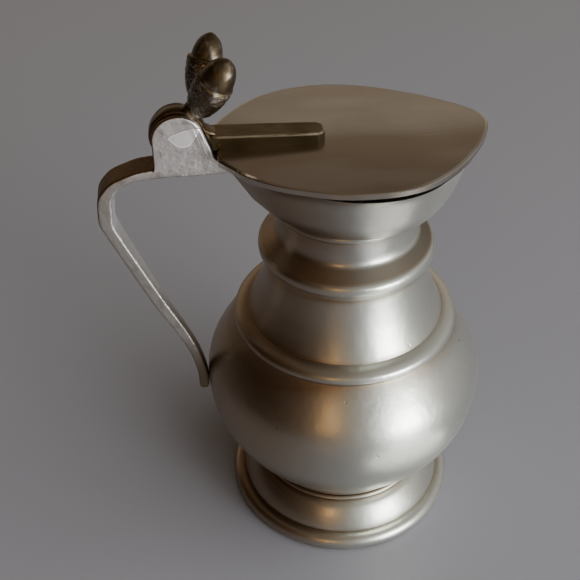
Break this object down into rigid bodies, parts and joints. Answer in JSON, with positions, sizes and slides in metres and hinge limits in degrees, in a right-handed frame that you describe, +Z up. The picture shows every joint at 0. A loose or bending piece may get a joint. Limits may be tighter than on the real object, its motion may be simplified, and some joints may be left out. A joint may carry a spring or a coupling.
{
  "type": "lidded syrup pitcher",
  "caption": "Small baluster pitcher on a rolled foot ring, with a pointed flat lid hinged at the handle, a strap handle and a twin-acorn thumbpiece.",
  "frame": {"origin": "centre of the foot's flat underside, on the surface the pitcher stands on", "axes": "+X towards the spout, handle along -X, +Z up along the body's axis"},
  "size_m": [0.1167, 0.0886, 0.1681],
  "materials": {
    "satin_pewter": "satin turned pewter with a soft sheen",
    "dull_pewter": "dull grey pewter",
    "cast_pewter": "grainy as-cast pewter, filed in places",
    "lid_pewter": "smooth pewter with a warm grey tone",
    "tarnished_pewter": "dark tarnish, worn bright on the high spots"
  },
  "bodies": {
    "jug": {"foot_ring": "satin_pewter", "foot_drum": "satin_pewter", "base_plate": "dull_pewter", "lower_bowl": "satin_pewter", "shoulder_bowl": "satin_pewter", "neck_cone": "satin_pewter", "neck_collar": "satin_pewter", "mouth": "satin_pewter", "handle": "cast_pewter", "hinge_pin": "cast_pewter"},
    "lid": {"lid_plate": "lid_pewter", "lid_strap": "lid_pewter", "thumbpiece": "tarnished_pewter"}
  },
  "joints": [
    {"name": "lid_hinge", "type": "hinge", "parent": "jug", "child": "lid", "pos_m": [-0.0473, 0, 0.1427], "axis": [0, -1, 0], "range_deg": [0, 100]}
  ]
}
